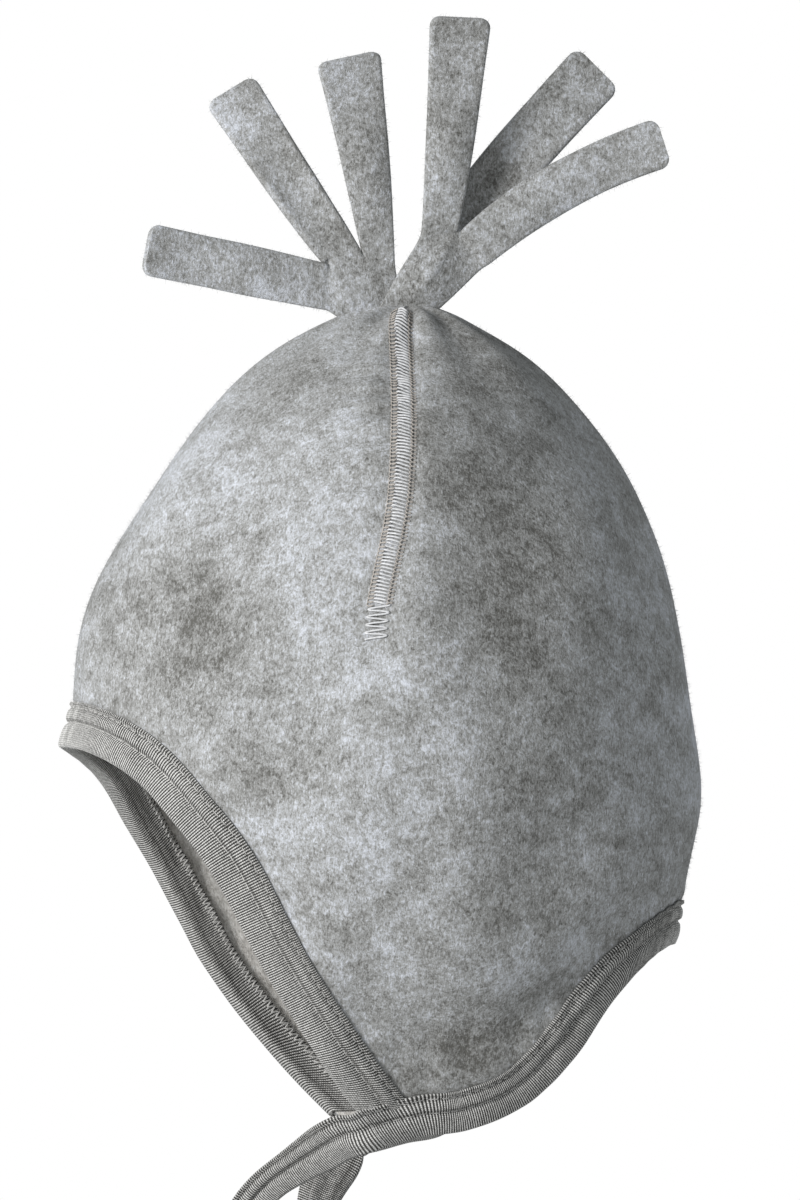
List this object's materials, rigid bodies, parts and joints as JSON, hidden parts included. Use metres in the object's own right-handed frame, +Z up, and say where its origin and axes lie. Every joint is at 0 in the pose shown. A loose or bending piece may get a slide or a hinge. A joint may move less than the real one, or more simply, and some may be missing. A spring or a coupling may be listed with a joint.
{
  "type": "baby hat with ear flaps",
  "caption": "Baby's fleece hat with ear flaps, side darts, a fringe of fleece strips at the point, and ribbed bindings that run on as chin ties",
  "frame": {"origin": "inside the crown's point, where the head holds the hat", "axes": "+Z is up along the worn hat, -Y is the face opening's side and +X is the wearer's left"},
  "size_m": [0.1204, 0.168, 0.3438],
  "materials": {
    "fleece": "brushed grey melange",
    "binding_knit": "fine rib",
    "seam_thread": "thread"
  },
  "bodies": {
    "root": {"crown": "fleece", "face_binding": "binding_knit", "neck_binding": "binding_knit", "tie_left": "binding_knit", "tie_right": "binding_knit", "dart_seam_left": "seam_thread", "dart_seam_right": "seam_thread", "fringe_front": "fleece", "fringe_back": "fleece"}
  },
  "joints": []
}
